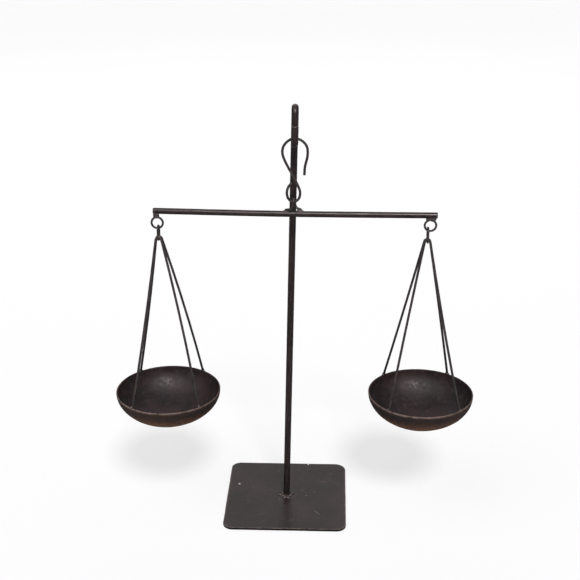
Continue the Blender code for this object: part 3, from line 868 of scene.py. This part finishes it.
def hanger_pieces():
    """The S-hook, rubbed where it hangs and where the staple hangs in it."""
    line = [(p.x, HANG_Y, p.y) for p in smooth(HOOK_LINE, 8)]
    rubs_and_highlights = ((Vector((0.0114, HANG_Y, 0.4776)), HOOK_RUB),
            (Vector((PIVOT_X, HANG_Y, HOOK_EYE_BOTTOM + HOOK_WIRE)), HOOK_RUB))
    hook = tube("s_hook", line, HOOK_WIRE, sides=18, step=0.0009, rubs_and_highlights=rubs_and_highlights)
    dress(hook, "hanger", "black_wire", WIRE, "hanger_hook")


def beam_pieces():
    """The beam rod, the staple, the end rings and the weld metal that joins them."""
    line = [(p.x, HANG_Y, p.y) for p in smooth(BEAM_LINE, 8)]
    rod = tube("beam_bar", line, BEAM_RADIUS, sides=28, step=0.002, easing=0.16)
    dress(rod, "beam", "iron_rod", ROD, "beam_rod")
    rubs_and_highlights = ((Vector((PIVOT_X, HANG_Y, HOOK_EYE_BOTTOM + EYE_ARCH)), WIRE_RUB),)
    eye = tube("beam_staple", eye_path(), EYE_WIRE, sides=18, step=0.0008, rubs_and_highlights=rubs_and_highlights)
    dress(eye, "beam", "black_wire", WIRE, "beam_eye")
    for side, x, way in STAPLE_FEET:
        dabs = string_of_beads((x - 0.0022 * way, HANG_Y - 0.0004 * way, 0.3950),
                               (x + 0.0026 * way, HANG_Y, 0.3942),
                               count=4, thick=0.0022, thin=0.0014)
        bead = settle(side + "_staple_bead", dabs)
        dress(bead, "beam", "weld_bead", WELD, side + "_eye_weld")
    for side, (x, z) in RING_CENTRES.items():
        loop = [(x + px, HANG_Y, z + pz) for px, pz in arc((0, 0), RING_RADIUS, 90, 446, 60)]
        hang_x, hang_z = hang_point(side)
        rubs_and_highlights = ((Vector((hang_x, HANG_Y, hang_z - LINK_WIRE - GAP)), WIRE_RUB),)
        ring = tube(side + "_end_ring", loop, RING_WIRE, closed=True, sides=18, step=0.0007,
                    rubs_and_highlights=rubs_and_highlights)
        dress(ring, "beam", "black_wire", WIRE, side + "_ring")
        shapes = [(Vector((px, HANG_Y, pz)), radii) for (px, pz), radii in RING_DABS[side]]
        bead = settle(side + "_ring_bead", shapes)
        dress(bead, "beam", "weld_bead", WELD, side + "_ring_weld")


def pan_pieces(side):
    """A link, the bowl, its two bails and the weld metal at their four ends."""
    hang_x, hang_z = hang_point(side)
    rubs_and_highlights = ((Vector((hang_x, HANG_Y, hang_z - LINK_WIRE)), WIRE_RUB),
            (Vector((hang_x, HANG_Y, LINK_FOOT + LINK_WIRE)), WIRE_RUB))
    loop = tube(side + "_oval_link", link_path(side), LINK_WIRE, closed=True, sides=18,
                step=0.0007, rubs_and_highlights=rubs_and_highlights)
    dress(loop, side + "_link", "black_wire", WIRE, side + "_link")
    body = side + "_pan"
    dress(bowl_piece(side), body, "pan_iron", BOWL, side + "_pan_bowl")
    x, rim = PAN_CENTRES[side]
    for row in ("front", "back"):
        path = bail_path(side, row)
        rubs_and_highlights = ((path[len(path) // 2], HOOK_RUB),)
        bail = tube("%s_%s_wire" % (side, row), path, BAIL_WIRE, sides=16, step=0.0014,
                    rubs_and_highlights=rubs_and_highlights)
        dress(bail, body, "black_wire", WIRE, "%s_%s_bail" % (side, row))
        for hand, end in (("left", path[0]), ("right", path[-1])):
            outward = Vector((end.x - x, end.y - HANG_Y, 0.0)).normalized()
            sideways = Vector((-outward.y, outward.x, 0.0))
            dabs = [(end + out * outward + aside * sideways + Vector((0, 0, rise)), (size,) * 3)
                    for out, aside, rise, size in RIM_DABS[row]]
            bead = settle("%s_%s_%s_bead" % (side, row, hand), dabs)
            dress(bead, body, "weld_bead", WELD, "%s_pan_%s_%s_weld" % (side, row, hand))


# ---- studio ------------------------------------------------------------------------------


def direction(azimuth, elevation):
    """Unit vector from the object towards a place, by its angles in degrees."""
    a, e = radians(azimuth), radians(elevation)
    return Vector((sin(a) * cos(e), -cos(a) * cos(e), sin(e)))


def softbox(name, target, azimuth, elevation, distance, size, power, colour):
    """Rectangular area light that faces a target."""
    data = bpy.data.lights.new(name, "AREA")
    data.shape = "RECTANGLE"
    data.size, data.size_y = size
    data.energy = power
    data.color = colour
    lamp = bpy.data.objects.new(name, data)
    way = direction(azimuth, elevation)
    lamp.location = Vector(target) + distance * way
    lamp.rotation_euler = way.to_track_quat("Z", "Y").to_euler()
    bpy.context.scene.collection.objects.link(lamp)
    return lamp


def far_light(name, azimuth, elevation, spread, strength, colour):
    """Soft light from far away, the same over the whole floor; spread is in degrees."""
    data = bpy.data.lights.new(name, "SUN")
    data.energy = strength
    data.angle = radians(spread)
    data.color = colour
    lamp = bpy.data.objects.new(name, data)
    lamp.rotation_euler = direction(azimuth, elevation).to_track_quat("Z", "Y").to_euler()
    bpy.context.scene.collection.objects.link(lamp)
    return lamp


def studio():
    """Pale floor, soft lights, pale surroundings and the camera."""
    cells = FLOOR_CELLS
    verts = [(FLOOR_SIDE * (i / cells - 0.5), FLOOR_SIDE * (j / cells - 0.5), 0.0)
             for j in range(cells + 1) for i in range(cells + 1)]
    faces = [(j * (cells + 1) + i, j * (cells + 1) + i + 1,
              (j + 1) * (cells + 1) + i + 1, (j + 1) * (cells + 1) + i)
             for j in range(cells) for i in range(cells)]
    floor = new_piece("studio_floor", verts, faces)
    floor.data.materials.append(floor_finish())
    floor.visible_glossy = False

    world = bpy.data.worlds.new("studio_world")
    world.use_nodes = True
    background = world.node_tree.nodes["Background"]
    background.inputs["Color"].default_value = (1.0, 0.955, 0.965, 1.0)
    background.inputs["Strength"].default_value = 0.22
    bpy.context.scene.world = world

    far_light("key", azimuth=13.0, elevation=50.0, spread=13.0, strength=2.50,
              colour=(1.0, 0.93, 0.92))
    far_light("fill", azimuth=-48.0, elevation=56.0, spread=45.0, strength=0.70,
              colour=(1.0, 0.97, 0.95))
    softbox("back", target=(0.0, 0.0, 0.24), azimuth=186.0, elevation=34.0, distance=3.0,
            size=(2.4, 1.2), power=11.0, colour=(1.0, 0.95, 0.96))

    azimuth, elevation, roll = (radians(angle) for angle in CAMERA_ANGLES)
    back = Vector((sin(azimuth) * cos(elevation), -cos(azimuth) * cos(elevation),
                   sin(elevation)))
    level = Vector((cos(azimuth), sin(azimuth), 0.0))
    above = back.cross(level)
    right = cos(roll) * level - sin(roll) * above
    up = sin(roll) * level + cos(roll) * above
    data = bpy.data.cameras.new("camera")
    data.lens = CAMERA_LENS
    data.sensor_width = CAMERA_SENSOR
    camera = bpy.data.objects.new("camera", data)
    bpy.context.scene.collection.objects.link(camera)
    turn = Matrix((right, up, back)).transposed().to_4x4()
    camera.matrix_world = Matrix.Translation(CAMERA_PLACE) @ turn
    bpy.context.scene.camera = camera
    bpy.context.scene.view_settings.view_transform = "Standard"


# ---- the whole scale ---------------------------------------------------------------------

PLATE = plate_finish()
ROD = rod_finish("rod_finish", dark=(0.0085, 0.0055, 0.0060), pale=(0.0330, 0.0215, 0.0225),
                 rust=(0.0380, 0.0175, 0.0150), specular=0.5, roughness=0.34)
WIRE = rod_finish("wire_finish", dark=(0.0170, 0.0140, 0.0145),
                  pale=(0.0480, 0.0405, 0.0400), rust=(0.0450, 0.0290, 0.0250),
                  specular=0.6, roughness=0.36)
BOWL = bowl_finish()
WELD = weld_finish()
SPATTER_AND_GLINT = spatter_and_glint_finish()

stand_pieces()
hanger_pieces()
beam_pieces()
pan_pieces("left")
pan_pieces("right")
studio()
